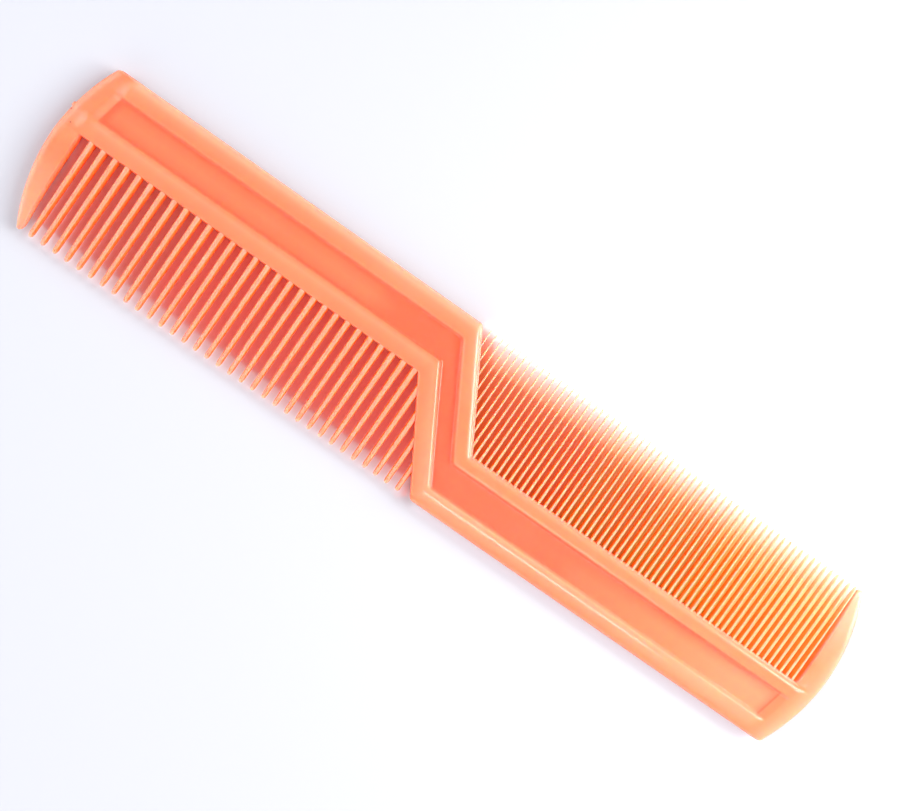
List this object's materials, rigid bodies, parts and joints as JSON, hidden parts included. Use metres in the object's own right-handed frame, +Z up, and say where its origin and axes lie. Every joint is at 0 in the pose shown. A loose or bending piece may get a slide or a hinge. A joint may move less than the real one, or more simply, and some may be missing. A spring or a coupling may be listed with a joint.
{
  "type": "two-row hair comb",
  "caption": "Flat one-piece plastic comb with coarse and fine rows on opposite sides of a Z-shaped spine with a recessed channel and end guards.",
  "frame": {"origin": "middle of the comb, on the surface that it rests on", "axes": "+X along the length towards the fine row's end, +Y across from the fine row's back to the coarse row's back, +Z up, square to the comb's faces"},
  "size_m": [0.1838, 0.0362, 0.004],
  "materials": {
    "plastic": "gloss"
  },
  "bodies": {
    "root": {"comb": "plastic"}
  },
  "joints": []
}
